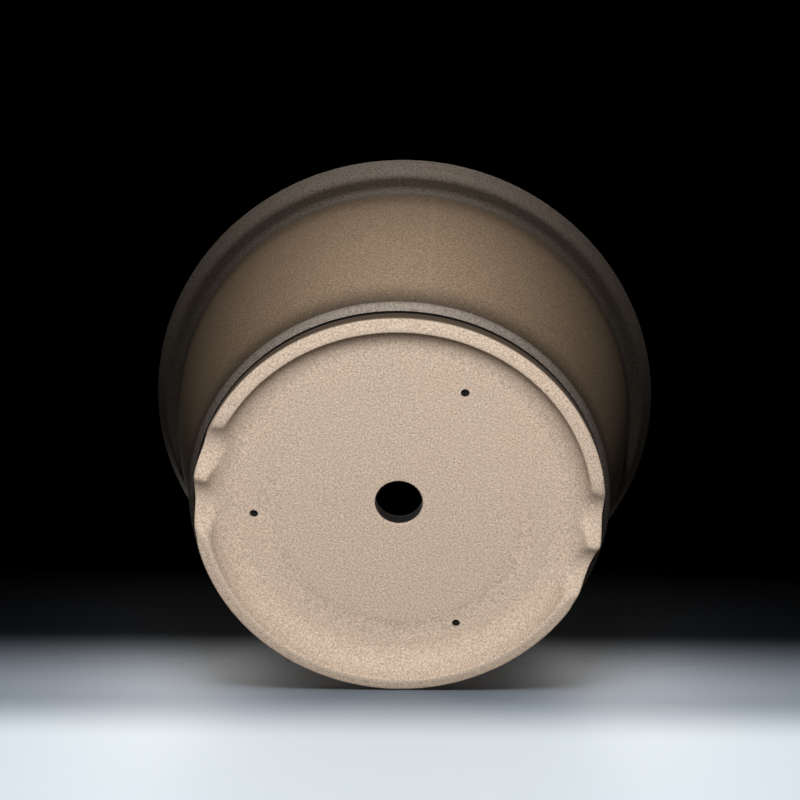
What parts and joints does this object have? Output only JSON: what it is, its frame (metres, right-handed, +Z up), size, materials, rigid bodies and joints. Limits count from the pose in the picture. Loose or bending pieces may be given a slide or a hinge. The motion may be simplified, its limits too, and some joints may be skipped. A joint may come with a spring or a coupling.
{
  "type": "flower pot",
  "caption": "Round unglazed stoneware flower pot with an everted lip, a gently rounded wall, a beaded foot with scalloped cut-outs, a drain hole and holes for tie wire.",
  "frame": {"origin": "on the pot's axis, in the plane that the foot stands on", "axes": "+Z up along the pot's axis, from the foot to the lip; the scalloped cut-outs of the foot lie on +X and -X"},
  "size_m": [0.206, 0.206, 0.105],
  "materials": {
    "sandy_clay": "unglazed, dry and sandy",
    "burnished_clay": "unglazed, burnished to a soft sheen"
  },
  "bodies": {
    "root": {"floor_slab": "sandy_clay", "foot_ring": "sandy_clay", "foot_bead": "burnished_clay", "bowl_wall": "burnished_clay", "rim_lip": "burnished_clay"}
  },
  "joints": []
}
